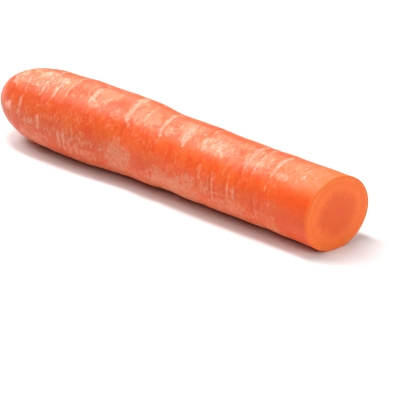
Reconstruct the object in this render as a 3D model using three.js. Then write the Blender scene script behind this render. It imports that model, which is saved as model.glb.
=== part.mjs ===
// A large carrot lying on its side, its leaves trimmed flush and its tip cut off.
//
// The root is one grown body, so it is one mesh: a blunt, slightly bent round
// body with a sloping shoulder, shallow growth rings, a small scar of cut leaf
// stalks at the crown, a flat cut face at the tip end and small flat spots
// underneath where it rests. Lengths are in millimetres and +Z is up. The body
// lies along X with the crown at -X, and the origin is under the middle of it.
//
// A point of the skin has a station, its distance from the crown along the
// body, and a turn, its angle round the body: 0 degrees at the front (-Y),
// 90 at the top, 180 at the back and -90 underneath.

import * as THREE from 'three';

// Driving dimensions

const LENGTH = 195;            // crown to the middle of the cut face
const SHOULDER = 34;           // length of the rounded shoulder
const SHOULDER_POWER = 2.1;    // 2 is an ellipse, more is blunter
const RADIUS = [               // station, radius of the body past the shoulder
  [34, 18.5], [52, 18.95], [68, 18.55], [82, 18.2], [93, 17.95], [104, 17.1],
  [118, 17.4], [140, 17.15], [160, 17.1], [180, 17.2], [195, 17.3],
];
const BEND = [                 // station, sideways place of the centre line
  [0, -2.7], [25, -2.1], [50, -1.1], [68, -0.1], [82, 0.9], [97, -0.1],
  [118, -0.35], [145, -0.5], [172, 0], [195, 0],
];
const CENTRE_HEIGHT = 19.05;   // height of the centre line at the crown
const CENTRE_FALL = 0.0125;    // how fast it drops along the body

const CUT_YAW = 11;            // degrees that the cut face is turned to the front
const CUT_RIM = 0.6;           // rounding of the cut's edge
const LEAN = [                 // station, degrees that the growth rings are turned so
  [0, 0], [20, 0], [45, -4.5], [140, -4.5], [195, CUT_YAW],
];

const CROWN_RADIUS = 4.6;      // the scar of cut leaf stalks
const CROWN_STATION = 1.6;     // station of the scar between its stalks
const CROWN_LIP_RADIUS = 6.2;  // where the skin turns into the groove round the scar
const CROWN_LIP_STATION = 2.0;
const GROOVE_STATION = 2.9;    // bottom of that groove
const STALKS = 9;              // cut leaf stalks in the scar
const STALK_HEIGHT = 1.1;      // how far they stand out of it
const STALK_WIDTH = 1.7;       // half of a stalk's width round the crown
const STALK_DEPTH = 0.75;      // half of its depth towards the middle
const STALK_TOP = 0.3;         // share of that size that is the stub's top,
const STALK_FOOT = 1.2;        // and the share at which its sides end
const STALK_START = 0.4;       // keeps the first stub off the very middle
const STALK_FALL = 0.5;        // the outermost stubs are lower by this share

const SWELLING = [             // height, waves round the body, radians per millimetre
  [0.14, 2, 0.03], [0.1, 3, -0.05], [0.08, 1, 0.33],
];
const RING_WIDTH = 0.8;        // half width of a growth ring's crease
const RING_FADE = 0.55;        // share of its half span that is at full depth
const RING_FREE = 12;          // the creases get shallower this near to the crown
const RING_STEP = 1.3;         // distance of the rows on both sides of a crease
const RINGS = [                // station, turn of its middle, half of its span, depth
  [10, 150, 70, 0.35], [17, 20, 50, 0.3], [24, 15, 45, 0.35], [33.5, 65, 55, 0.45],
  [40.5, 70, 50, 0.5], [47, 85, 45, 0.35], [55, 205, 65, 0.45], [61.5, 75, 40, 0.45],
  [68, 185, 55, 0.45], [75, -50, 55, 0.35], [83.5, 70, 60, 0.65], [92.5, 75, 50, 0.45],
  [98, 215, 60, 0.45], [103.5, 70, 55, 0.6], [110, -40, 50, 0.35], [117.5, 60, 50, 0.45],
  [128, 95, 45, 0.45], [133, 190, 60, 0.5], [137.5, 0, 45, 0.35], [146.5, 0, 45, 0.4],
  [153.5, 75, 60, 0.6], [158.5, 85, 60, 0.5], [163, -20, 45, 0.3], [168.5, 75, 55, 0.5],
  [175.5, 200, 60, 0.45], [182, 75, 35, 0.3],
];

const SIDES = 48;              // facets round the body
const ROW_STEP = 5;            // longest distance between rows of facets
const ROW_GAP = 0.9;           // rows closer than this are merged
const LIP_ROWS = 8;            // extra rows where the shoulder is steep
const LIP_LENGTH = 12;         // and how far along the body they go
const CROWN_ROWS = 8;
const FACE_ROWS = 5;
const RIM_ROWS = 3;

// Curves

const smooth = (a, b, t) => THREE.MathUtils.smoothstep(t, a, b);
const radians = THREE.MathUtils.degToRad;

// A smooth curve through points, with the slope at each taken from its
// neighbours. It is level at both ends.
function along(points, station) {
  const last = points.length - 1;
  let i = 0;
  while (i < last - 1 && station >= points[i + 1][0]) i += 1;
  const slope = (k) => {
    if (k === 0 || k === last) return 0;
    return (points[k + 1][1] - points[k - 1][1]) / (points[k + 1][0] - points[k - 1][0]);
  };
  const [x0, y0] = points[i];
  const [x1, y1] = points[i + 1];
  const h = x1 - x0;
  const t = THREE.MathUtils.clamp((station - x0) / h, 0, 1);
  const t2 = t * t;
  const t3 = t2 * t;
  return y0 * (2 * t3 - 3 * t2 + 1) + slope(i) * h * (t3 - 2 * t2 + t)
    + y1 * (3 * t2 - 2 * t3) + slope(i + 1) * h * (t3 - t2);
}

// Radius of the smooth body: the points, rounded off to the crown by the shoulder.
function bodyRadius(station) {
  const left = THREE.MathUtils.clamp(1 - station / SHOULDER, 0, 1);
  return along(RADIUS, Math.max(station, SHOULDER)) * Math.sqrt(1 - left ** SHOULDER_POWER);
}

// Slow swellings that keep the body from being perfectly round.
function swelling(station, turn) {
  let height = 0;
  for (const [most, round, lengthwise] of SWELLING) {
    height += most * Math.cos(round * turn + lengthwise * station);
  }
  return height;
}

// How deep the growth rings' creases are here. Each fades out at the ends of its span.
function creases(station, turn) {
  let depth = 0;
  for (const [at, middle, span, deepest] of RINGS) {
    const off = (station - at) / RING_WIDTH;
    const round = turn - radians(middle);
    const away = Math.abs(Math.atan2(Math.sin(round), Math.cos(round)));
    const share = away / radians(span);
    depth += deepest * Math.exp(-off * off) * (1 - smooth(RING_FADE, 1, share));
  }
  return depth;
}

// Places a point of the ring of the given radius round the centre line. The ring
// leans as LEAN says, and nothing reaches below the resting plane.
function place(station, radius, turn) {
  const sideways = -radius * Math.cos(turn);
  return new THREE.Vector3(
    station + sideways * Math.tan(radians(along(LEAN, station))),
    along(BEND, station) + sideways,
    Math.max(0, CENTRE_HEIGHT - CENTRE_FALL * station + radius * Math.sin(turn)),
  );
}

// Distance of the real skin from the centre line, with swellings and creases.
function skinRadius(station, turn) {
  return bodyRadius(station) + smooth(0, SHOULDER, station) * swelling(station, turn)
    - smooth(CROWN_LIP_STATION, RING_FREE, station) * creases(station, turn);
}

// Station of the scar's surface: curved stubs of cut leaf stalks, set round the
// middle by the golden angle, stand out of it and get lower towards its edge.
function scarStation(radius, turn) {
  const golden = Math.PI * (3 - Math.sqrt(5));
  let height = 0;
  for (let i = 0; i < STALKS; i += 1) {
    const ring = (CROWN_RADIUS - STALK_DEPTH) * Math.sqrt((i + STALK_START) / STALKS);
    const round = turn - i * golden;
    const away = Math.atan2(Math.sin(round), Math.cos(round));
    const share = Math.hypot((radius - ring) / STALK_DEPTH, (radius * away) / STALK_WIDTH);
    height = Math.max(height, 1 - smooth(STALK_TOP, STALK_FOOT, share));
  }
  const lower = 1 - STALK_FALL * smooth(0, CROWN_RADIUS, radius);
  return CROWN_STATION - STALK_HEIGHT * lower * height;
}

// Rows of facets

// Stations of the skin's rows: at each crease and on both sides of it, with
// more rows between where the creases are far apart.
function skinStations() {
  const wanted = [];
  for (let i = 1; i <= LIP_ROWS; i += 1) {
    wanted.push(CROWN_LIP_STATION + LIP_LENGTH * (i / LIP_ROWS) ** 1.6);
  }
  for (const [at] of RINGS) wanted.push(at - RING_STEP, at, at + RING_STEP);
  wanted.push(LENGTH - CUT_RIM);
  wanted.sort((a, b) => a - b);
  const rows = [];
  for (const station of wanted) {
    const before = rows.length ? rows[rows.length - 1] : CROWN_LIP_STATION;
    if (station - before < ROW_GAP) continue;
    const steps = Math.ceil((station - before) / ROW_STEP);
    for (let k = 1; k <= steps; k += 1) rows.push(before + ((station - before) * k) / steps);
  }
  return rows;
}

function ringOf(stationAt, radiusAt) {
  return Array.from({ length: SIDES }, (_, i) => {
    const turn = (i / SIDES) * 2 * Math.PI;
    return place(stationAt(turn), radiusAt(turn), turn);
  });
}

function carrotRows() {
  const rows = [];
  for (let i = 1; i <= CROWN_ROWS; i += 1) {          // the scar of leaf stalks
    const radius = (CROWN_RADIUS * i) / CROWN_ROWS;
    rows.push(ringOf((turn) => scarStation(radius, turn), () => radius));
  }
  const groove = (CROWN_RADIUS + CROWN_LIP_RADIUS) / 2;
  rows.push(ringOf(() => GROOVE_STATION, () => groove));
  rows.push(ringOf(() => CROWN_LIP_STATION, () => CROWN_LIP_RADIUS));
  for (const station of skinStations()) {
    rows.push(ringOf(() => station, (turn) => skinRadius(station, turn)));
  }
  for (let i = 1; i <= RIM_ROWS; i += 1) {            // the rounded edge of the cut
    const a = (i / RIM_ROWS) * (Math.PI / 2);
    const inset = CUT_RIM * (1 - Math.cos(a));
    const station = LENGTH - CUT_RIM * (1 - Math.sin(a));
    rows.push(ringOf(() => station, (turn) => skinRadius(station, turn) - inset));
  }
  for (let i = FACE_ROWS - 1; i >= 1; i -= 1) {       // the flat cut face
    const share = i / FACE_ROWS;
    rows.push(ringOf(() => LENGTH, (turn) => share * (skinRadius(LENGTH, turn) - CUT_RIM)));
  }
  return rows;
}

// Joins the rows into one closed surface, with a fan at the crown and at the cut.
function closedSurface(rows, first, last) {
  const points = [first, ...rows.flat(), last];
  const at = (row, i) => 1 + row * SIDES + (i % SIDES);
  const end = points.length - 1;
  const index = [];
  for (let i = 0; i < SIDES; i += 1) {
    index.push(0, at(0, i), at(0, i + 1));
    for (let row = 0; row < rows.length - 1; row += 1) {
      index.push(at(row, i), at(row + 1, i), at(row + 1, i + 1));
      index.push(at(row, i), at(row + 1, i + 1), at(row, i + 1));
    }
    index.push(at(rows.length - 1, i), end, at(rows.length - 1, i + 1));
  }
  const geometry = new THREE.BufferGeometry().setFromPoints(points);
  geometry.setIndex(index);
  return geometry;
}

// The part

function carrot() {
  const crown = place(scarStation(0, 0), 0, 0);
  const geometry = closedSurface(carrotRows(), crown, place(LENGTH, 0, 0));
  geometry.computeBoundingBox();
  const { min, max } = geometry.boundingBox;
  geometry.translate(-(min.x + max.x) / 2, -(min.y + max.y) / 2, -min.z);
  geometry.computeVertexNormals();
  const skin = new THREE.MeshStandardMaterial({ color: 0xe8642c, roughness: 0.5, metalness: 0 });
  const mesh = new THREE.Mesh(geometry, skin);
  mesh.name = 'carrot';
  return mesh;
}

const part = new THREE.Group();
part.add(carrot());

export default part;
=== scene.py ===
"""A large carrot, its leaves trimmed and its tip cut off, lying on a pale floor.

A point of the skin has a station, its distance from the crown along the root in
millimetres, and a turn, its angle round the root: 0 degrees at the front (-Y),
90 at the top, 180 at the back and -90 underneath. Meshes are in metres.
"""

import math

import bpy
import numpy as np
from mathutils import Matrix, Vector


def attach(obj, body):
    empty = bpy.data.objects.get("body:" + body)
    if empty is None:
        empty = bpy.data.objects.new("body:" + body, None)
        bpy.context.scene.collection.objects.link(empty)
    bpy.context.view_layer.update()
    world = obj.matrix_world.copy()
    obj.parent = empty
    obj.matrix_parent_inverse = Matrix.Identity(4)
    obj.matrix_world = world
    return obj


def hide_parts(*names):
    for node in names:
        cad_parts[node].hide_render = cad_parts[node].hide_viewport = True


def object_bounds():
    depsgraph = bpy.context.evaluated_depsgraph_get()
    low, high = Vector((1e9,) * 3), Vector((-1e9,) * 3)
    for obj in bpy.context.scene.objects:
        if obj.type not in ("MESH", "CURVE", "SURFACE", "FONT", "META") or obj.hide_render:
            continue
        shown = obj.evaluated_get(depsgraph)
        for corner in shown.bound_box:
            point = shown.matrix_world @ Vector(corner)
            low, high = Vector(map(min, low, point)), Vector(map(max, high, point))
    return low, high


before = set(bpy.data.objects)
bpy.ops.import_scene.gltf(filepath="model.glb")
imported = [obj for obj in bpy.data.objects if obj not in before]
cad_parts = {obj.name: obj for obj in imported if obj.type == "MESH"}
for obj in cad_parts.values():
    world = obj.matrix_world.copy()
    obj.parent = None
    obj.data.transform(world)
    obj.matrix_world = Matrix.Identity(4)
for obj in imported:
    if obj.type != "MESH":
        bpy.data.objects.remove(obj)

CAD_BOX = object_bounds()
MM = 0.001
SEED = 7

# The root's form, in millimetres and degrees

LENGTH = 195.0
SHOULDER = 34.0
SHOULDER_POWER = 2.1
# Station and radius
RADIUS = [
    (34, 18.5), (52, 18.95), (68, 18.55), (82, 18.2), (93, 17.95), (104, 17.1),
    (118, 17.4), (140, 17.15), (160, 17.1), (180, 17.2), (195, 17.3),
]
# Station and the centre line's shift towards the back
BEND = [
    (0, -2.7), (25, -2.1), (50, -1.1), (68, -0.1), (82, 0.9), (97, -0.1),
    (118, -0.35), (145, -0.5), (172, 0), (195, 0),
]
CENTRE_HEIGHT = 19.05
CENTRE_FALL = 0.0125
CUT_YAW = 11.0
CUT_RIM = 0.6
# Station and the angle by which a cross-section is turned out of square
LEAN = [(0, 0), (20, 0), (45, -4.5), (140, -4.5), (195, CUT_YAW)]
ORIGIN_STATION = 99.41
ORIGIN_SIDE = -0.65

CROWN_RADIUS = 4.6
CROWN_STATION = 1.6
CROWN_LIP_RADIUS = 6.2
CROWN_LIP_STATION = 2.0
GROOVE_STATION = 2.9
STALKS = 9
STALK_HEIGHT = 1.1
STALK_WIDTH = 1.7
STALK_DEPTH = 0.75
STALK_TOP = 0.3
STALK_FOOT = 1.2
STALK_START = 0.4
STALK_FALL = 0.5
STALK_PITH = 0.28

# Height, waves round the root, and radians for each millimetre along it
SWELLING = [(0.14, 2, 0.03), (0.1, 3, -0.05), (0.08, 1, 0.33)]
RING_WIDTH = 0.8
RING_FADE = 0.55
RING_FREE = 12.0
# Growth rings: station, middle turn, half of their span in degrees, depth
RINGS = [
    (10, 150, 70, 0.35), (17, 20, 50, 0.3), (24, 15, 45, 0.35), (33.5, 65, 55, 0.45),
    (40.5, 70, 50, 0.5), (47, 85, 45, 0.35), (55, 205, 65, 0.45), (61.5, 75, 40, 0.45),
    (68, 185, 55, 0.45), (75, -50, 55, 0.35), (83.5, 70, 60, 0.65), (92.5, 75, 50, 0.45),
    (98, 215, 60, 0.45), (103.5, 70, 55, 0.6), (110, -40, 50, 0.35), (117.5, 60, 50, 0.45),
    (128, 95, 45, 0.45), (133, 190, 60, 0.5), (137.5, 0, 45, 0.35), (146.5, 0, 45, 0.4),
    (153.5, 75, 60, 0.6), (158.5, 85, 60, 0.5), (163, -20, 45, 0.3), (168.5, 75, 55, 0.5),
    (175.5, 200, 60, 0.45), (182, 75, 35, 0.3),
]

# Noises over the skin: the largest cell in millimetres, cells round the root, layers
RAGGED = (9.0, 22, 4)
FINE = (1.6, 60, 2)
STROKES = (1.2, 16, 2)
WANDER = (14.0, 12, 2)
ROUGH = (1.1, 110, 2)
LUMPS = (7.0, 14, 2)
LINES = (0.9, 9, 1)

# Pale streaks of dry skin: station, first and last turn, half width, strength
STREAKS = [
    (33.2, 40, 92, 0.5, 0.8), (40.3, 42, 97, 0.7, 0.8), (46.8, 52, 84, 0.4, 0.5),
    (60.8, 52, 90, 0.8, 0.95), (64.0, 70, 92, 0.4, 0.5), (83.2, 44, 114, 1.5, 1.4),
    (92.5, 48, 100, 0.6, 0.85), (103.0, 46, 100, 0.7, 1.3), (117.2, 45, 92, 1.5, 1.2),
    (127.8, 70, 96, 0.5, 0.6), (153.3, 46, 108, 1.0, 1.15), (158.6, 48, 112, 0.6, 1.1),
    (168.3, 46, 108, 0.8, 0.9), (180.5, 76, 86, 0.6, 1.3), (184.0, 58, 68, 0.8, 1.4),
    (24.0, 0, 36, 0.6, 0.75), (35.8, -8, 18, 0.8, 0.6), (48.0, -28, 5, 0.5, 0.55),
    (51.0, -30, 10, 0.5, 0.6), (54.5, -32, 0, 0.5, 0.55), (58.0, -30, -8, 0.6, 0.5),
    (85.0, 39, 47, 0.6, 0.6), (130.8, 4, 33, 0.7, 0.35), (138.0, -22, 26, 0.6, 0.35),
    (147.1, -24, 22, 0.6, 0.45), (151.0, -22, 20, 0.6, 0.4), (164.2, -37, -5, 0.6, 0.35),
    (172.8, 4, 16, 0.5, 0.3), (178.5, 24, 36, 0.5, 0.4),
]
# Mottled patches: station, turn, half length, half of their span in degrees, strength, dryness
PATCHES = [
    (45.0, 78, 4.4, 20, 1.0, 1.2), (63.5, 57, 5.0, 11, 0.9, 0.9), (76.5, 51, 5.5, 11, 0.7, 0.6),
    (107.0, 61, 4.0, 12, 0.9, 0.8), (135.0, 66, 13.5, 20, 1.0, 1.1), (174.5, 53, 5.5, 9, 0.9, 0.8),
    (16.0, 10, 3.0, 10, 1.0, 1.6), (31.5, 2, 3.0, 8, 0.9, 0.7), (18.0, 60, 6.0, 17, 1.0, 1.1),
    (6.0, 50, 2.5, 14, 0.9, 1.2), (81.0, -8, 8.5, 32, 0.9, 0.35), (115.0, -30, 20.0, 28, 0.95, 0.55),
    (57.0, -12, 9.0, 26, 0.6, 0.25), (150.0, -27, 16.0, 25, 0.8, 0.35), (122.0, -8, 8.0, 22, 0.8, 0.3),
    (134.0, -4, 5.0, 15, 0.75, 0.45), (64.0, -24, 6.0, 16, 0.7, 0.35), (177.0, -36, 11.0, 13, 0.9, 0.6),
    (189.0, -15, 1.8, 7, 0.8, 0.3), (26.0, 76, 22.0, 28, 1.0, 1.1), (66.0, 76, 8.0, 22, 1.0, 0.7),
    (92.0, 68, 9.0, 22, 1.0, 0.35), (117.0, 74, 9.0, 24, 1.0, 0.7), (158.0, 66, 9.0, 24, 1.0, 0.7),
    (180.0, 80, 12.0, 26, 0.9, 0.6), (187.0, 70, 6.0, 20, 0.8, 0.6),
]

# Strengths of the marks, and the stations and turns between which they come and go
RAGGEDNESS = 0.3
WANDER_REACH = 0.25
STREAK_DENSITY = 1.6
STREAK_ENDS = (0.6, 1.15)
HALO = 1.5
HALO_WIDTH = 1.7
PATCH_EDGE = (0.5, 1.2)
PATCH_GAPS = (-1.0, 0.5)
RING_TISSUE = 1.2
RING_TISSUE_DEPTH = (0.03, 0.3)
RING_TISSUE_TURNS = (35, 50)
FILM = 0.5
FILM_GAPS = (-1.0, 0.8)
LOW_FILM = 0.35
LOW_FILM_FROM = (10, -35)
LOW_FILM_TO = (-130, -90)
TOP_FILM = 0.22
TOP_FILM_FROM = (42, 58)
TOP_FILM_TO = (125, 95)
CROWN_CLEAN = (3, 6)
CUT_CLEAN = (174, 182)
CUT_CLEAN_TURNS = (46, 32)
CUT_CLEAN_ABOVE = 0.2
FRONT_TURN = 4
BARE_FRONT = 0.12
BARE_FRONT_STATIONS = (140, 160)
BARE_FRONT_TURNS = (34, 20)

# Ranges for the marks of the back and the underside
HIDDEN_TURNS = (118.0, 318.0)
HIDDEN_STREAKS = 46
HIDDEN_STREAK_STATIONS = (10, 188)
HIDDEN_STREAK_SPANS = (12, 60)
HIDDEN_STREAK_ROOM = 20
HIDDEN_STREAK_WIDTHS = (0.5, 1.0)
HIDDEN_STREAK_STRENGTHS = (0.55, 0.95)
WIDE_STREAK_CHANCE = 0.15
WIDE_STREAK_EXTRA = 0.9
HIDDEN_PATCHES = 16
HIDDEN_PATCH_STATIONS = (14, 184)
HIDDEN_PATCH_LENGTHS = (2.5, 11)
HIDDEN_PATCH_SPANS = (8, 26)
HIDDEN_PATCH_STRENGTHS = (0.7, 1.0)
HIDDEN_PATCH_DRYNESS = (0.2, 0.9)

# Relief of the skin, the cut face and the scar, in millimetres
LUMP_HEIGHT = 0.05
ROUGH_HEIGHT = 0.025
LINE_HEIGHT = 0.03
TISSUE_HEIGHT = 0.07
SKIN_SINK = 0.06
RELIEF_FROM = (3, 10)
RELIEF_TO = (LENGTH - 0.1, LENGTH - 2)
CORE_SHARE = 0.6
CORE_LOBES = 0.03
CORE_RIPPLE = 0.02
CORE_INSIDE = 0.08
CORE_OUTSIDE = 0.06
CORE_DISH = 0.14
CORE_LIP = 0.05
CORE_LIP_WIDTH = 0.05
SAW_HEIGHT = 0.02
SAW_TURN = 0.5
SAW_PACE = 2.6
FIBRE_HEIGHT = 0.03
FIBRE_CELL = 9.0
FIBRES = 96
FIBRES_FROM = (0.15, 0.6)
FACE_TO = (1, 0.86)
SCAR_EDGE = 1.2
PITH_SINK = 0.35

# Rows and sides of the mesh, and the materials' slots
SIDES = 180
CROWN_ROWS = 22
GROOVE_ROWS = 5
SHOULDER_ROWS = 60
SHOULDER_END = 24.0
SHOULDER_EASE = 1.7
BODY_ROWS = 400
RIM_ROWS = 5
FACE_ROWS = 26
SKIN_SLOT, FACE_SLOT, CROWN_SLOT = 0, 1, 2


# Curves and noise

def smooth(low, high, value):
    """Goes from 0 at low to 1 at high along an S curve, 3t^2 - 2t^3."""
    t = np.clip((value - low) / (high - low), 0, 1)
    return t * t * (3 - 2 * t)


def along(points, station):
    """Cubic through the points, its slope at each from the two neighbours, level at both ends."""
    x, y = np.array(points, float).T
    slope = np.zeros_like(y)
    slope[1:-1] = (y[2:] - y[:-2]) / (x[2:] - x[:-2])
    i = np.clip(np.searchsorted(x, station, side="right") - 1, 0, len(x) - 2)
    h = x[i + 1] - x[i]
    t = np.clip((station - x[i]) / h, 0, 1)
    start = y[i] * (2 * t**3 - 3 * t**2 + 1) + slope[i] * h * (t**3 - 2 * t**2 + t)
    return start + y[i + 1] * (3 * t**2 - 2 * t**3) + slope[i + 1] * h * (t**3 - t**2)


def away_from(turn, middle):
    """Angle between a turn and the middle, in degrees, the short way round."""
    return (np.degrees(turn) - middle + 180) % 360 - 180


def grain(station, turn, cell, columns, rng):
    """Random values from -1 to 1 at the corners of a lattice closed round the root, blended between."""
    u = station / cell + 2
    v = turn / (2 * np.pi) * columns
    rows = int(LENGTH / cell) + 8
    corner = rng.uniform(-1, 1, (rows, columns))
    i, j = np.floor(u).astype(int), np.floor(v).astype(int)
    s, t = smooth(0, 1, u - i), smooth(0, 1, v - j)
    i0, i1 = np.clip(i, 0, rows - 1), np.clip(i + 1, 0, rows - 1)
    j0, j1 = j % columns, (j + 1) % columns
    near = corner[i0, j0] * (1 - t) + corner[i0, j1] * t
    far = corner[i1, j0] * (1 - t) + corner[i1, j1] * t
    return near * (1 - s) + far * s


def layered(station, turn, noise, rng):
    """Sum of grains, each half as large and half as strong as the one before."""
    cell, columns, layers = noise
    total = 0
    for k in range(layers):
        total = total + grain(station, turn, cell / 2**k, columns * 2**k, rng) / 2**k
    return total


# The root's form

def body_radius(station):
    """The outline's radius, times the superellipse sqrt(1 - (1 - s / SHOULDER)^p) of the shoulder."""
    left = np.clip(1 - station / SHOULDER, 0, 1)
    return along(RADIUS, np.maximum(station, SHOULDER)) * np.sqrt(1 - left**SHOULDER_POWER)


def swelling(station, turn):
    """Sum of slow waves round and along the root."""
    return sum(height * np.cos(waves * turn + pace * station) for height, waves, pace in SWELLING)


def creases(station, turn):
    """Sum of the growth rings: each is a Gaussian groove that fades at the ends of its arc."""
    depth = 0
    for at, middle, span, deepest in RINGS:
        share = np.abs(away_from(turn, middle)) / span
        fade = 1 - smooth(RING_FADE, 1, share)
        depth = depth + deepest * np.exp(-(((station - at) / RING_WIDTH) ** 2)) * fade
    return depth


def skin_radius(station, turn):
    """The outline with its swellings, less its creases."""
    raised = smooth(0, SHOULDER, station) * swelling(station, turn)
    sunk = smooth(CROWN_LIP_STATION, RING_FREE, station) * creases(station, turn)
    return body_radius(station) + raised - sunk


def place(station, radius, turn):
    """Circle of the radius about the bent centre line, leaning as LEAN says, not below the floor."""
    sideways = -radius * np.cos(turn)
    lean = np.tan(np.radians(along(LEAN, station)))
    height = CENTRE_HEIGHT - CENTRE_FALL * station + radius * np.sin(turn)
    x = station + sideways * lean - ORIGIN_STATION
    y = along(BEND, station) + sideways - ORIGIN_SIDE
    return np.stack([x, y, np.maximum(height, 0)], axis=-1)


def stalks(radius, turn):
    """Height and pith of the cut leaf stalks: ovals set round the middle by the golden angle."""
    golden = np.pi * (3 - np.sqrt(5))
    height = np.zeros_like(radius)
    pith = np.zeros_like(radius)
    for i in range(STALKS):
        ring = (CROWN_RADIUS - STALK_DEPTH) * np.sqrt((i + STALK_START) / STALKS)
        away = np.radians(away_from(turn, np.degrees(i * golden)))
        share = np.hypot((radius - ring) / STALK_DEPTH, radius * away / STALK_WIDTH)
        height = np.maximum(height, 1 - smooth(STALK_TOP, STALK_FOOT, share))
        pith = np.maximum(pith, 1 - smooth(STALK_PITH, 2 * STALK_PITH, share))
    return height, pith


# Pale marks

def hidden_marks(rng):
    """Streaks and patches for the back and the underside, drawn at random from the ranges above."""
    low, high = HIDDEN_TURNS
    streaks = []
    for _ in range(HIDDEN_STREAKS):
        first = rng.uniform(low, high - HIDDEN_STREAK_ROOM)
        last = min(first + rng.uniform(*HIDDEN_STREAK_SPANS), high)
        width = rng.uniform(*HIDDEN_STREAK_WIDTHS)
        width = width + (rng.random() < WIDE_STREAK_CHANCE) * WIDE_STREAK_EXTRA
        station = rng.uniform(*HIDDEN_STREAK_STATIONS)
        streaks.append((station, first, last, width, rng.uniform(*HIDDEN_STREAK_STRENGTHS)))
    patches = []
    for _ in range(HIDDEN_PATCHES):
        length = rng.uniform(*HIDDEN_PATCH_LENGTHS)
        spot = (rng.uniform(*HIDDEN_PATCH_STATIONS), rng.uniform(low, high))
        span = rng.uniform(*HIDDEN_PATCH_SPANS)
        strength = rng.uniform(*HIDDEN_PATCH_STRENGTHS)
        patches.append((*spot, length, span, strength, rng.uniform(*HIDDEN_PATCH_DRYNESS)))
    return streaks, patches


def pale_marks(station, turn, rng):
    """Dry tissue and the thin pale film at each point of the grid.

    The tissue is the largest of the marks at a point. The growth rings hold some of it,
    except on the front. Streaks are Gaussian across and fade at their ends, and patches are
    ovals with ragged edges. The film is the largest of a faint veil that is thicker below
    and on top, a wider Gaussian halo along each streak, and the patches. Noise makes all of
    it uneven. Both fade by the crown's lip and thin out near the cut, mostly in front, and
    the film is a little thinner on the front of the last stretch.
    """
    ragged = layered(station, turn, RAGGED, rng)
    fine = layered(station, turn, FINE, rng)
    strokes = layered(station, turn, STROKES, rng)
    wander = WANDER_REACH * layered(station, turn, WANDER, rng)
    more_streaks, more_patches = hidden_marks(rng)
    side = away_from(turn, 0)
    tissue = smooth(*RING_TISSUE_DEPTH, creases(station, turn)) * np.clip(0.7 + 0.5 * fine, 0, 1)
    pale = RING_TISSUE * tissue * smooth(*RING_TISSUE_TURNS, np.abs(side))
    halo = 0
    dense = STREAK_DENSITY * np.clip(0.85 + 0.2 * fine, 0, 1)
    for at, first, last, width, strength in STREAKS + more_streaks:
        off = (station + wander - at) / (width * (1 + RAGGEDNESS * ragged))
        reach = np.abs(away_from(turn, (first + last) / 2)) / ((last - first) / 2)
        ends = 1 - smooth(*STREAK_ENDS, reach + 0.15 * fine)
        pale = np.maximum(pale, dense * strength * np.exp(-off * off) * ends)
        glow = np.exp(-((off / HALO_WIDTH) ** 2))
        halo = np.maximum(halo, HALO * np.cbrt(strength) * glow * ends)
    lower = smooth(*LOW_FILM_FROM, side) * smooth(*LOW_FILM_TO, side)
    upper = smooth(*TOP_FILM_FROM, side) * smooth(*TOP_FILM_TO, side)
    film = FILM + LOW_FILM * lower + TOP_FILM * upper
    veil = np.maximum(np.minimum(halo, 1), film * smooth(*FILM_GAPS, ragged + 0.4 * strokes))
    mottled = smooth(*PATCH_GAPS, 0.8 * fine + 0.2 * strokes + 0.3 * ragged)
    for at, middle, length, span, strength, dry in PATCHES + more_patches:
        out = np.hypot((station - at) / length, away_from(turn, middle) / span)
        patch = strength * (1 - smooth(*PATCH_EDGE, out + RAGGEDNESS * ragged))
        pale = np.maximum(pale, dry * patch * mottled)
        veil = np.maximum(veil, patch)
    from_front = np.abs(side - FRONT_TURN)
    in_front = CUT_CLEAN_ABOVE + (1 - CUT_CLEAN_ABOVE) * smooth(*CUT_CLEAN_TURNS, from_front)
    clean = smooth(*CROWN_CLEAN, station) * (1 - smooth(*CUT_CLEAN, station) * in_front)
    bare = smooth(*BARE_FRONT_STATIONS, station) * smooth(*BARE_FRONT_TURNS, from_front)
    return pale * clean, veil * clean * (1 - BARE_FRONT * bare)


# The mesh

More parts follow.
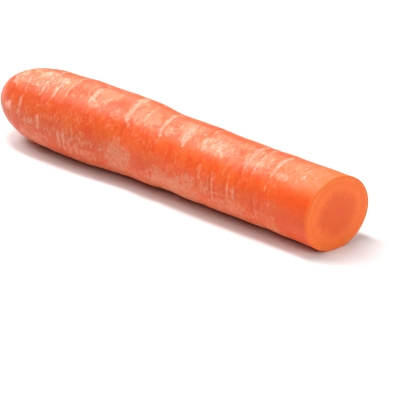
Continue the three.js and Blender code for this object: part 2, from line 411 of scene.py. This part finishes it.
def root_grid():
    """Stations, radii, turns and materials of the grid's rows, from the scar's middle to the cut's.

    The leaf stalks stand out of the scar, and the groove is a straight slope with half a
    sine wave sunk into it. The skin's rows follow its radius, the rim of the cut is a
    quarter circle, and the cut face is the rim's outline drawn in to the middle.
    """
    turn = np.linspace(0, 2 * np.pi, SIDES, endpoint=False)[None, :]
    scar = np.linspace(0, CROWN_RADIUS, CROWN_ROWS + 1)[1:, None] + 0 * turn
    height, _ = stalks(scar, turn + 0 * scar)
    lower = 1 - STALK_FALL * smooth(0, CROWN_RADIUS, scar)
    crown = CROWN_STATION - STALK_HEIGHT * lower * height
    across = np.linspace(0, 1, GROOVE_ROWS + 2)[1:-1, None] + 0 * turn
    groove_radius = CROWN_RADIUS + (CROWN_LIP_RADIUS - CROWN_RADIUS) * across
    groove = CROWN_STATION + (CROWN_LIP_STATION - CROWN_STATION) * across
    groove = groove + (GROOVE_STATION - groove) * np.sin(np.pi * across)
    eased = np.linspace(0, 1, SHOULDER_ROWS) ** SHOULDER_EASE
    shoulder = CROWN_LIP_STATION + (SHOULDER_END - CROWN_LIP_STATION) * eased
    body = np.linspace(SHOULDER_END, LENGTH - CUT_RIM, BODY_ROWS + 1)[1:]
    skin = np.concatenate([shoulder, body])[:, None] + 0 * turn
    bow = np.linspace(0, np.pi / 2, RIM_ROWS + 1)[1:, None] + 0 * turn
    rim = LENGTH - CUT_RIM * (1 - np.sin(bow))
    edge = skin_radius(LENGTH + 0 * bow, turn + 0 * bow) - CUT_RIM * (1 - np.cos(bow))
    face = np.linspace(1, 0, FACE_ROWS + 1)[1:-1, None] * edge[-1:]
    station = [crown, groove, skin, rim, LENGTH + 0 * face]
    radius = [scar, groove_radius, skin_radius(skin, turn + 0 * skin), edge, face]
    slots = [CROWN_SLOT, CROWN_SLOT, SKIN_SLOT, SKIN_SLOT, FACE_SLOT]
    kinds = np.repeat(slots, [len(part) for part in station])
    station, radius = np.concatenate(station), np.concatenate(radius)
    return station, radius, turn + 0 * station, kinds


def closed_mesh(name, grid, first, last, kinds):
    """Quads between the rows of the grid, and a fan of triangles to the first and to the last point."""
    rows, sides = grid.shape[:2]
    points = np.concatenate([first[None], grid.reshape(-1, 3), last[None]])
    i = np.arange(sides)
    j = (i + 1) % sides
    row = 1 + np.arange(rows - 1)[:, None] * sides
    quads = np.stack([row + i, row + sides + i, row + sides + j, row + j], axis=-1).reshape(-1, 4)
    end = 1 + (rows - 1) * sides
    start_fan = np.stack([0 * i, 1 + i, 1 + j], axis=-1)
    end_fan = np.stack([end + i, 0 * i + len(points) - 1, end + j], axis=-1)
    faces = quads.tolist() + start_fan.tolist() + end_fan.tolist()
    mesh = bpy.data.meshes.new(name)
    mesh.from_pydata(points.tolist(), [], faces)
    slots = np.concatenate([np.repeat(kinds[1:], sides), 0 * i + kinds[0], 0 * i + kinds[-1]])
    mesh.polygons.foreach_set("material_index", slots.astype(np.int32))
    mesh.polygons.foreach_set("use_smooth", np.ones(len(slots), bool))
    mesh.update()
    return mesh


def store(mesh, name, kind, values, first, last):
    """Puts the grid's values, with those of the two end points, on the mesh as an attribute."""
    flat = np.concatenate([np.atleast_1d(first), values.reshape(-1), np.atleast_1d(last)])
    layer = mesh.attributes.new(name, kind, "POINT")
    layer.data.foreach_set("vector" if kind == "FLOAT_VECTOR" else "value", flat.astype(np.float32))


def skin_relief(station, turn, pale, rng):
    """Height of the skin's grain: fine noise, lumps, lines across and raised dry tissue."""
    rough = layered(station, turn, ROUGH, rng)
    lumps = layered(station, turn, LUMPS, rng)
    lines = layered(station, turn, LINES, rng)
    waves = LUMP_HEIGHT * lumps + ROUGH_HEIGHT * rough + LINE_HEIGHT * lines
    return waves + TISSUE_HEIGHT * pale - SKIN_SINK


def face_relief(radius, turn, share, core, rng):
    """Height of the core's dish with its Gaussian lip, and that with saw marks and fibres added."""
    dish = -CORE_DISH * smooth(core + CORE_OUTSIDE, core - CORE_INSIDE, share)
    dish = dish + CORE_LIP * np.exp(-(((share - core) / CORE_LIP_WIDTH) ** 2))
    saw = SAW_HEIGHT * np.sin(radius * np.sin(turn + SAW_TURN) * SAW_PACE)
    fibres = FIBRE_HEIGHT * grain(0 * turn, turn, FIBRE_CELL, FIBRES, rng)
    return dish, dish + saw + fibres * smooth(*FIBRES_FROM, share)


def carrot_mesh():
    """The root: the CAD's form with finer creases, skin grain, leaf stalks and saw marks."""
    rng = np.random.default_rng(SEED)
    station, radius, turn, kinds = root_grid()
    pale, veil = pale_marks(station, turn, rng)
    on_skin = smooth(*RELIEF_FROM, station) * smooth(*RELIEF_TO, station)
    on_skin = (kinds == SKIN_SLOT)[:, None] * on_skin
    radius = radius + on_skin * skin_relief(station, turn, pale, rng)
    scar = smooth(CROWN_RADIUS + SCAR_EDGE, CROWN_RADIUS, radius) * (station < SHOULDER)
    stalk, pith = stalks(radius, turn)
    share = radius / skin_radius(LENGTH + 0 * turn, turn)
    core = CORE_SHARE * (1 + CORE_LOBES * np.cos(5 * turn) + CORE_RIPPLE * np.cos(9 * turn + 1))
    dish, cut = face_relief(radius, turn, share, core, rng)
    on_face = (kinds == FACE_SLOT)[:, None] * smooth(*FACE_TO, share)
    station = station + on_face * cut + scar * PITH_SINK * pith
    grid = place(station, radius, turn)
    first = place(station[:1].mean(), np.array(0.0), np.array(0.0))
    last = place(LENGTH + dish[-1].mean(), np.array(0.0), np.array(0.0))
    low, high = (np.array(corner) / MM for corner in CAD_BOX)
    grid = np.clip(grid, low, high)
    mesh = closed_mesh("carrot_root", grid * MM, first * MM, last * MM, kinds)
    straight = np.stack([station, radius * np.cos(turn), radius * np.sin(turn)], axis=-1)
    store(mesh, "straight", "FLOAT_VECTOR", straight, [CROWN_STATION, 0, 0], [LENGTH, 0, 0])
    store(mesh, "pale", "FLOAT", pale, 0, 0)
    store(mesh, "veil", "FLOAT", veil, 0, 0)
    store(mesh, "core", "FLOAT", share / core, 0, 0)
    store(mesh, "share", "FLOAT", share, 0, 0)
    store(mesh, "pith", "FLOAT", pith, 1, 0)
    store(mesh, "stalk", "FLOAT", stalk, 1, 0)
    return mesh


# Materials

class Socket:
    """An output in a material's node tree. Sums, differences and products of numbers add Math nodes."""

    def __init__(self, tree, socket=None):
        self.tree = tree
        self.socket = socket

    def make(self, kind, settings=None, inputs=None, output=0):
        """Adds a node: first its settings, then the values or links of its sockets."""
        node = self.tree.nodes.new(kind)
        for name, value in (settings or {}).items():
            setattr(node, name, value)
        for name, value in (inputs or {}).items():
            if isinstance(value, Socket):
                self.tree.links.new(value.socket, node.inputs[name])
            else:
                node.inputs[name].default_value = value
        return Socket(self.tree, node.outputs[output])

    def math(self, operation, *values):
        return self.make("ShaderNodeMath", {"operation": operation}, dict(enumerate(values)))

    def __add__(self, other):
        return self.math("ADD", self, other)

    def __sub__(self, other):
        return self.math("SUBTRACT", self, other)

    def __rsub__(self, other):
        return self.math("SUBTRACT", other, self)

    def __mul__(self, other):
        return self.math("MULTIPLY", self, other)

    def __abs__(self):
        return self.math("ABSOLUTE", self)

    __radd__ = __add__
    __rmul__ = __mul__

    def step(self, low, high):
        """0 at low and 1 at high, along an S curve."""
        settings = {"interpolation_type": "SMOOTHSTEP"}
        inputs = {"Value": self, "From Min": low, "From Max": high}
        if low > high:
            inputs.update({"From Min": high, "From Max": low, "To Min": 1.0, "To Max": 0.0})
        return self.make("ShaderNodeMapRange", settings, inputs)

    def mix(self, low, high):
        """The colour low where this is 0 and high where it is 1. Inputs 6 and 7 take the colours."""
        low, high = (c if isinstance(c, Socket) else (*c, 1) for c in (low, high))
        return self.make("ShaderNodeMix", {"data_type": "RGBA"}, {0: self, 6: low, 7: high}, 2)

    def times(self, factors):
        """This vector, each part of it times its factor."""
        return self.make("ShaderNodeVectorMath", {"operation": "MULTIPLY"}, {0: self, 1: factors})

    def part(self, axis):
        """One part of this vector, 0 for x, 1 for y and 2 for z."""
        return self.make("ShaderNodeSeparateXYZ", None, {0: self}, axis)

    def texture(self, scale, detail, roughness=0.5):
        """Noise at this place, with this many features for each unit of length."""
        inputs = {"Vector": self, "Scale": scale, "Detail": detail, "Roughness": roughness}
        return self.make("ShaderNodeTexNoise", None, inputs)

    def noise(self, size, stretch=(1, 1, 1), detail=2.0, roughness=0.5):
        """Noise with features of about this size in millimetres, longer along an axis by its stretch."""
        return self.times(tuple(1 / (size * s) for s in stretch)).texture(1.0, detail, roughness)


# Outputs of an Attribute node
VECTOR, NUMBER = 1, 2

WET_IOR = 1.36
SCATTER_RADIUS = (1.0, 0.35, 0.12)
SCATTER_SCALE = 0.001


def new_material(name):
    """A material with its Principled shader, and a start for its node expressions."""
    material = bpy.data.materials.new(name)
    material.use_nodes = True
    shader = material.node_tree.nodes["Principled BSDF"]
    return material, shader, Socket(material.node_tree)


def attribute(start, name, output):
    """A value that carrot_mesh stored on the mesh."""
    return start.make("ShaderNodeAttribute", {"attribute_name": name}, None, output)


def finish_shader(start, shader, colour, roughness, height, depth, scatter):
    """Links what varies to the shader, and sets what is the same all over on its own sockets."""
    tree = start.tree
    relief = {"Height": height, "Distance": depth, "Strength": 1.0}
    bump = start.make("ShaderNodeBump", None, relief)
    tree.links.new(colour.socket, shader.inputs["Base Color"])
    tree.links.new(roughness.socket, shader.inputs["Roughness"])
    tree.links.new(bump.socket, shader.inputs["Normal"])
    shader.inputs["IOR"].default_value = WET_IOR
    shader.inputs["Subsurface Weight"].default_value = scatter
    shader.inputs["Subsurface Radius"].default_value = SCATTER_RADIUS
    shader.inputs["Subsurface Scale"].default_value = SCATTER_SCALE


DEEP_AT_CROWN = (0.64, 0.066, 0.013)
DEEP_AT_CUT = (0.84, 0.078, 0.010)
WARM_AT_CROWN = (0.69, 0.108, 0.021)
WARM_AT_CUT = (0.88, 0.130, 0.020)
VEIL_AT_CROWN = (0.72, 0.248, 0.134)
VEIL_AT_CUT = (0.86, 0.266, 0.128)
VEIL_ON_TOP = (0.82, 0.222, 0.088)
FRESH_ORANGE = (0.87, 0.088, 0.009)
# Lighter orange for the top of the stretch by the cut: painted light where the lamps fall on it
FRESH_PAINTED_TOP_LIGHT = (0.90, 0.165, 0.022)
PALE_SKIN = (0.91, 0.50, 0.345)
PINK_SKIN = (0.88, 0.37, 0.25)
SPECK_BROWN = (0.48, 0.085, 0.035)
GRAIN_ORANGE = (0.50, 0.090, 0.015)
GREEN_BROWN = (0.22, 0.12, 0.03)
# Brighter orange for the rounded rim of the cut: a painted highlight
PAINTED_RIM_HIGHLIGHT = (0.96, 0.17, 0.022)
FRESH_COVER = 0.8
VEIL_COVER = 0.78
FLECK_COVER = 0.9
TISSUE_COVER = 0.3
SPECK_COVER = 0.7
GRAIN_COVER = 0.25
GRAIN_COVER_ON_TOP = 0.2
PAINTED_RIM_HIGHLIGHT_COVER = 0.7
SKIN_ROUGHNESS = 0.38
SKIN_BUMP = 0.00014
SKIN_SCATTER = 0.08
# Stations, heights and distances to the front between which the skin's colours change
GRADED_STATIONS = (0.0, 180.0)
FRESH_STATIONS = (166.0, 186.0)
# Heights over which the painted light on top of the stretch by the cut comes in
PAINTED_TOP_LIGHT_HEIGHTS = (8.0, 14.5)
PAINTED_RIM_HIGHLIGHT_STATIONS = (193.2, 194.6)
GREEN_STATIONS = (7.5, 2.0)
TOP_FILM_SIDES = (8.0, 1.0)
TOP_GRAIN_SIDES = (10.0, 2.0)
# Noise and strengths between which the skin's finishes come and go
WARM_STEP = (0.38, 0.6)
THREAD_STEP = (0.05, 0.0)
FILM_START = 0.61
FILM_STEP = (-0.035, 0.18)
FLECK_START = 0.67
FLECK_STEP = (-0.01, 0.21)
TISSUE_STEP = (0.1, 1.4)
TINT_STEP = (0.4, 0.6)
MARKED_STEP = (0.5, 1.25)
SPECK_STEP = (0.57, 0.66)
GRAIN_STEP = (0.46, 0.36)


def skin_material():
    """Moist orange skin, under a thin pale film in patches, with flecks of dry tissue on it.

    The orange goes from deep to warm in soft clouds and is brighter towards the cut, and on the
    stretch by the cut it is lighter on top: painted light from above. The film
    and the flecks show where noise plus their stored strength passes a threshold, and fine
    threads run through the film. Brown specks lie on the dry marks and darker grains all
    over, the skin is green-brown round the scar, and its last stretch before the cut is
    brighter orange: a painted highlight on the rounded rim.
    """
    material, shader, start = new_material("carrot_skin")
    straight = attribute(start, "straight", VECTOR)
    pale = attribute(start, "pale", NUMBER)
    veiled = attribute(start, "veil", NUMBER)
    station, near_side, height = (straight.part(axis) for axis in range(3))
    clouds = straight.noise(9, detail=3.0)
    fine = straight.noise(1.0, (1, 1.6, 1.6), 3.0, 0.6)
    strokes = straight.noise(0.9, (1, 4.5, 4.5), 2.0, 0.6)
    mottle = straight.noise(2.4, (1, 1.7, 1.7), 2.0, 0.6)
    dots = straight.noise(0.8, (1, 1.3, 1.3), 1.0)
    threads = abs(straight.noise(1.3, (1, 2.2, 2.2)) - 0.5).step(*THREAD_STEP)

    along_root = station.step(*GRADED_STATIONS)
    deep = along_root.mix(DEEP_AT_CROWN, DEEP_AT_CUT)
    warm = along_root.mix(WARM_AT_CROWN, WARM_AT_CUT)
    base = (clouds * 0.4 + mottle * 0.4 + fine * 0.2).step(*WARM_STEP).mix(deep, warm)
    # Clean orange by the cut, lighter on top as painted light from above
    fresh_and_painted_top_light = height.step(*PAINTED_TOP_LIGHT_HEIGHTS).mix(FRESH_ORANGE, FRESH_PAINTED_TOP_LIGHT)
    base = (station.step(*FRESH_STATIONS) * FRESH_COVER).mix(base, fresh_and_painted_top_light)

    grit = fine * 0.55 + strokes * 0.3 + mottle * 0.15
    caught = threads * veiled * (veiled * 0.25 + 0.25)
    veil = ((grit + veiled * 0.24 - FILM_START).step(*FILM_STEP) + caught).step(0.0, 1.0)
    film = along_root.mix(VEIL_AT_CROWN, VEIL_AT_CUT)
    film = near_side.step(*TOP_FILM_SIDES).mix(film, VEIL_ON_TOP)
    colour = (veil * VEIL_COVER).mix(base, film)

    speckle = fine * 0.78 + strokes * 0.22
    flecks = (speckle + pale * 0.30 - FLECK_START).step(*FLECK_STEP) * FLECK_COVER
    amount = flecks + (1 - flecks) * pale.step(*TISSUE_STEP) * TISSUE_COVER
    tint = (clouds * 0.5 + strokes * 0.5).step(*TINT_STEP).mix(PINK_SKIN, PALE_SKIN)
    colour = amount.mix(colour, tint)

    marked = (pale * 0.8 + veiled * 0.3).step(*MARKED_STEP)
    colour = (dots.step(*SPECK_STEP) * marked * SPECK_COVER).mix(colour, SPECK_BROWN)
    on_top = near_side.step(*TOP_GRAIN_SIDES) * GRAIN_COVER_ON_TOP
    colour = (dots.step(*GRAIN_STEP) * (on_top + GRAIN_COVER)).mix(colour, GRAIN_ORANGE)
    # Painted highlight: brighter orange on the skin's last stretch before the rounded rim of the cut
    colour = (station.step(*PAINTED_RIM_HIGHLIGHT_STATIONS) * PAINTED_RIM_HIGHLIGHT_COVER).mix(colour, PAINTED_RIM_HIGHLIGHT)
    colour = (station.step(*GREEN_STATIONS) * (0.55 + fine * 0.6)).mix(colour, GREEN_BROWN)
    roughness = SKIN_ROUGHNESS + amount * 0.2 + fine * 0.06
    bump = amount * 0.5 + fine * 0.5
    finish_shader(start, shader, colour, roughness, bump, SKIN_BUMP, SKIN_SCATTER)
    return material


FLESH_EDGE = (0.80, 0.110, 0.009)
FLESH_BEAD = (0.95, 0.26, 0.06)
FLESH_RIM = (0.91, 0.175, 0.018)
FLESH_ORANGE = (0.91, 0.158, 0.020)
FLESH_RING = (0.96, 0.190, 0.035)
FLESH_GRAIN = (0.70, 0.080, 0.007)
CORE_ORANGE = (0.78, 0.099, 0.011)
RING_COVER = 0.7
SPOKE_COVER = 0.35
LIGHT_GRAIN_COVER = 0.6
DARK_GRAIN_COVER = 0.5
BEAD_COVER = 0.55
PIT_COVER = 0.5
RAYS = 16.0
BEADS = 36.0
RAY_WANDER = 0.16
CLOUD_WANDER = 0.25
FLESH_ROUGHNESS = 0.42
FLESH_BUMP = 0.00012
FLESH_SCATTER = 0.2
# Shares of the radius between which the cut's colours change
RIM_SHARES = (0.84, 0.95)
EDGE_SHARES = (0.925, 0.985)
BEADS_FROM = (0.84, 0.93)
BEADS_TO = (1.0, 0.97)
PITS_FROM = (0.88, 0.95)
# The same, as shares of the core's radius
RING_FROM = (0.9, 1.08)
RING_TO = (1.34, 1.12)
CORE_TO = (1.28, 0.62)
SPOKES_FROM = (0.35, 0.8)
SPOKES_TO = (1.25, 1.0)
# Noise between which the cut's marks come and go
SPOKE_STEP = (0.5, 0.72)
LIGHT_GRAIN_STEP = (0.5, 0.68)
DARK_GRAIN_STEP = (0.5, 0.32)
BEAD_STEP = (0.45, 0.6)
PIT_STEP = (0.5, 0.36)


def flesh_material():
    """Cut flesh: a beaded rim, a paler ring, and a duller core with rays across its edge.

    The share is the distance from the middle over the radius, and the core is that share over
    the core's own. The rays and the beads are noise on the direction from the middle alone.
    """
    material, shader, start = new_material("carrot_flesh")
    straight = attribute(start, "straight", VECTOR)
    share = attribute(start, "share", NUMBER)
    core = attribute(start, "core", NUMBER)
    outward = straight.times((0, 1, 1))
    ray = start.make("ShaderNodeVectorMath", {"operation": "NORMALIZE"}, {0: outward})
    rays = ray.texture(RAYS, 3.0, 0.6)
    rows = ray.texture(BEADS, 1.0)
    fine = straight.noise(0.5, detail=3.0, roughness=0.6)
    clouds = straight.noise(4.5)
    edge = core + (rays - 0.5) * RAY_WANDER + (clouds - 0.5) * CLOUD_WANDER
    ring = edge.step(*RING_FROM) * edge.step(*RING_TO)
    colour = share.step(*RIM_SHARES).mix(FLESH_ORANGE, FLESH_RIM)
    colour = (ring * RING_COVER).mix(colour, FLESH_RING)
    colour = edge.step(*CORE_TO).mix(colour, CORE_ORANGE)
    spokes = rays.step(*SPOKE_STEP) * core.step(*SPOKES_FROM) * core.step(*SPOKES_TO)
    colour = (spokes * SPOKE_COVER).mix(colour, FLESH_RING)
    colour = (fine.step(*LIGHT_GRAIN_STEP) * LIGHT_GRAIN_COVER).mix(colour, FLESH_RING)
    colour = (fine.step(*DARK_GRAIN_STEP) * DARK_GRAIN_COVER).mix(colour, FLESH_GRAIN)
    colour = share.step(*EDGE_SHARES).mix(colour, FLESH_EDGE)
    beads = rows.step(*BEAD_STEP) * share.step(*BEADS_FROM) * share.step(*BEADS_TO)
    colour = (beads * BEAD_COVER).mix(colour, FLESH_BEAD)
    pits = rows.step(*PIT_STEP) * share.step(*PITS_FROM)
    colour = (pits * PIT_COVER).mix(colour, CORE_ORANGE)
    roughness = FLESH_ROUGHNESS + fine * 0.14
    bump = fine * 0.6 + rays * 0.4
    finish_shader(start, shader, colour, roughness, bump, FLESH_BUMP, FLESH_SCATTER)
    return material


CORK_DARK = (0.06, 0.03, 0.012)
CORK_BROWN = (0.17, 0.085, 0.03)
STUB_DARK = (0.20, 0.17, 0.04)
STUB_GREEN = (0.33, 0.27, 0.08)
PITH_CREAM = (0.46, 0.36, 0.17)
SCAR_ROUGHNESS = 0.6
SCAR_BUMP = 0.0002
SCAR_SCATTER = 0.05
# Noise between which the cork and the stubs go from dark to light, and cork turns to stub
CORK_STEP = (0.35, 0.7)
STUB_STEP = (0.35, 0.65)
STALK_STEP = (0.35, 0.85)


def crown_material():
    """The scar of cut leaf stalks: cream pith in green stubs, brown cork between them."""
    material, shader, start = new_material("carrot_crown")
    straight = attribute(start, "straight", VECTOR)
    stalk = attribute(start, "stalk", NUMBER)
    pith = attribute(start, "pith", NUMBER)
    fine = straight.noise(0.45, detail=3.0, roughness=0.6)
    cork = fine.step(*CORK_STEP).mix(CORK_DARK, CORK_BROWN)
    green = fine.step(*STUB_STEP).mix(STUB_DARK, STUB_GREEN)
    colour = stalk.step(*STALK_STEP).mix(cork, green)
    colour = (pith * (0.6 + fine * 0.5)).mix(colour, PITH_CREAM)
    roughness = SCAR_ROUGHNESS + fine * 0.2
    finish_shader(start, shader, colour, roughness, fine, SCAR_BUMP, SCAR_SCATTER)
    return material


# Floor, lights and camera

FLOOR_REACH = 3.0
FLOOR_GREY = 0.85
FLOOR_ROUGHNESS = 0.9
SKY = 0.12
# Softboxes: name, middle, width and height, tilt and turn in degrees, power.
# Untilted, one shines down.
SOFTBOXES = [
    ("key", (-0.12, -0.03, 0.89), (0.46, 0.18), (0, 0), 6.2),
    ("near_strip", (-0.68, -0.27, 0.85), (0.54, 0.48), (0, 0), 7.7),
    ("middle_strip", (-0.68, 0.21, 0.85), (0.54, 0.48), (0, 0), 1.0),
    ("far_strip", (-0.90, 0.95, 0.85), (0.80, 1.00), (0, 0), 11.0),
    ("front_fill", (0.25, -0.75, 0.95), (0.60, 0.40), (40, 18), 1.6),
    ("end_fill", (0.95, 0.15, 0.38), (0.50, 0.50), (68, 99), 4.2),
]
CAMERA_AZIMUTH = 40.86
CAMERA_ELEVATION = 26.0
CAMERA_DISTANCE = 0.945
CAMERA_LENS = 190.8
CAMERA_SENSOR = 36.0
CAMERA_NEAR = 0.05
CAMERA_FAR = 20.0
CAMERA_LOOK = Vector((0.02036, -0.00117, -0.00027))


def floor_and_world():
    """A wide pale floor under a pale sky."""
    r = FLOOR_REACH
    corners = [(-r, -r, 0), (r, -r, 0), (r, r, 0), (-r, r, 0)]
    mesh = bpy.data.meshes.new("floor")
    mesh.from_pydata(corners, [], [(0, 1, 2, 3)])
    floor = bpy.data.objects.new("floor", mesh)
    bpy.context.collection.objects.link(floor)
    material, shader, _ = new_material("floor")
    shader.inputs["Base Color"].default_value = (FLOOR_GREY, FLOOR_GREY, FLOOR_GREY, 1)
    shader.inputs["Roughness"].default_value = FLOOR_ROUGHNESS
    shader.inputs["Specular IOR Level"].default_value = 0.0
    mesh.materials.append(material)
    world = bpy.data.worlds.new("pale_sky")
    world.use_nodes = True
    background = world.node_tree.nodes["Background"]
    background.inputs["Color"].default_value = (1, 1, 1, 1)
    background.inputs["Strength"].default_value = SKY
    bpy.context.scene.world = world


def softboxes():
    """Rectangular area lights, out of the camera's sight."""
    for name, middle, (width, height), (tilt, turn), power in SOFTBOXES:
        lamp = bpy.data.lights.new(name, "AREA")
        lamp.shape = "RECTANGLE"
        lamp.size = width
        lamp.size_y = height
        lamp.energy = power
        light = bpy.data.objects.new(name, lamp)
        bpy.context.collection.objects.link(light)
        light.location = middle
        light.rotation_euler = (math.radians(tilt), 0, math.radians(turn))
        light.visible_camera = False


def camera():
    """Looks at CAMERA_LOOK from its azimuth and elevation, with a long lens."""
    a, e = math.radians(CAMERA_AZIMUTH), math.radians(CAMERA_ELEVATION)
    back = Vector((math.sin(a) * math.cos(e), -math.cos(a) * math.cos(e), math.sin(e)))
    data = bpy.data.cameras.new("camera")
    data.lens = CAMERA_LENS
    data.sensor_width = CAMERA_SENSOR
    data.clip_start = CAMERA_NEAR
    data.clip_end = CAMERA_FAR
    thing = bpy.data.objects.new("camera", data)
    bpy.context.collection.objects.link(thing)
    thing.location = CAMERA_LOOK + back * CAMERA_DISTANCE
    thing.rotation_euler = (-back).to_track_quat("-Z", "Y").to_euler()
    bpy.context.scene.camera = thing


# The scene

root = bpy.data.objects.new("carrot_root", carrot_mesh())
bpy.context.collection.objects.link(root)
for finish in (skin_material(), flesh_material(), crown_material()):
    root.data.materials.append(finish)
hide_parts("carrot")
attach(root, "root")

floor_and_world()
softboxes()
camera()
bpy.context.scene.view_settings.view_transform = "Standard"
